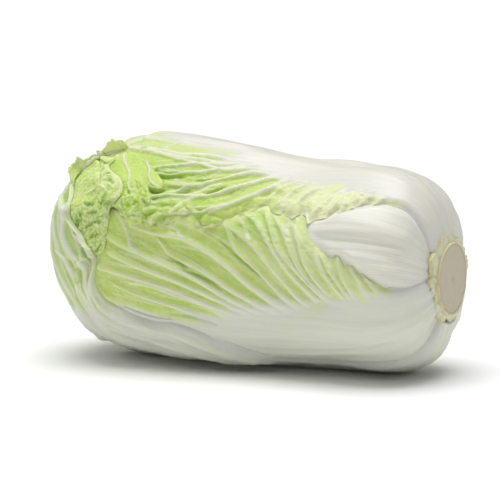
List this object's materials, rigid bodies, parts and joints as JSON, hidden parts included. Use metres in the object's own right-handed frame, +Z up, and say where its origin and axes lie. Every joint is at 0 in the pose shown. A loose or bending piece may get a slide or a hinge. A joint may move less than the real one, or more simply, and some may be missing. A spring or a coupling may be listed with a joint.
{
  "type": "chinese cabbage",
  "caption": "Whole barrel-shaped head of Chinese cabbage lying on its side, with a cut stem, thick white midribs and wrapped pale green leaves.",
  "frame": {"origin": "under the middle of the head, on the surface that it rests on", "axes": "+X along the head towards the cut stem, -Y the side seen in the picture, +Z up"},
  "size_m": [0.2956, 0.1618, 0.1554],
  "materials": {
    "stem": "dry cut stem, pale beige with a darker ragged rim",
    "heart": "crumpled soft leaf, satin, yellow-green",
    "leaf": "waxy satin, white midrib and veins fading into a yellow-green blade"
  },
  "bodies": {
    "root": {"stem": "stem", "heart": "heart", "inner_front_leaf": "leaf", "back_leaf": "leaf", "front_leaf": "leaf", "top_leaf": "leaf", "under_leaf": "leaf"}
  },
  "joints": []
}
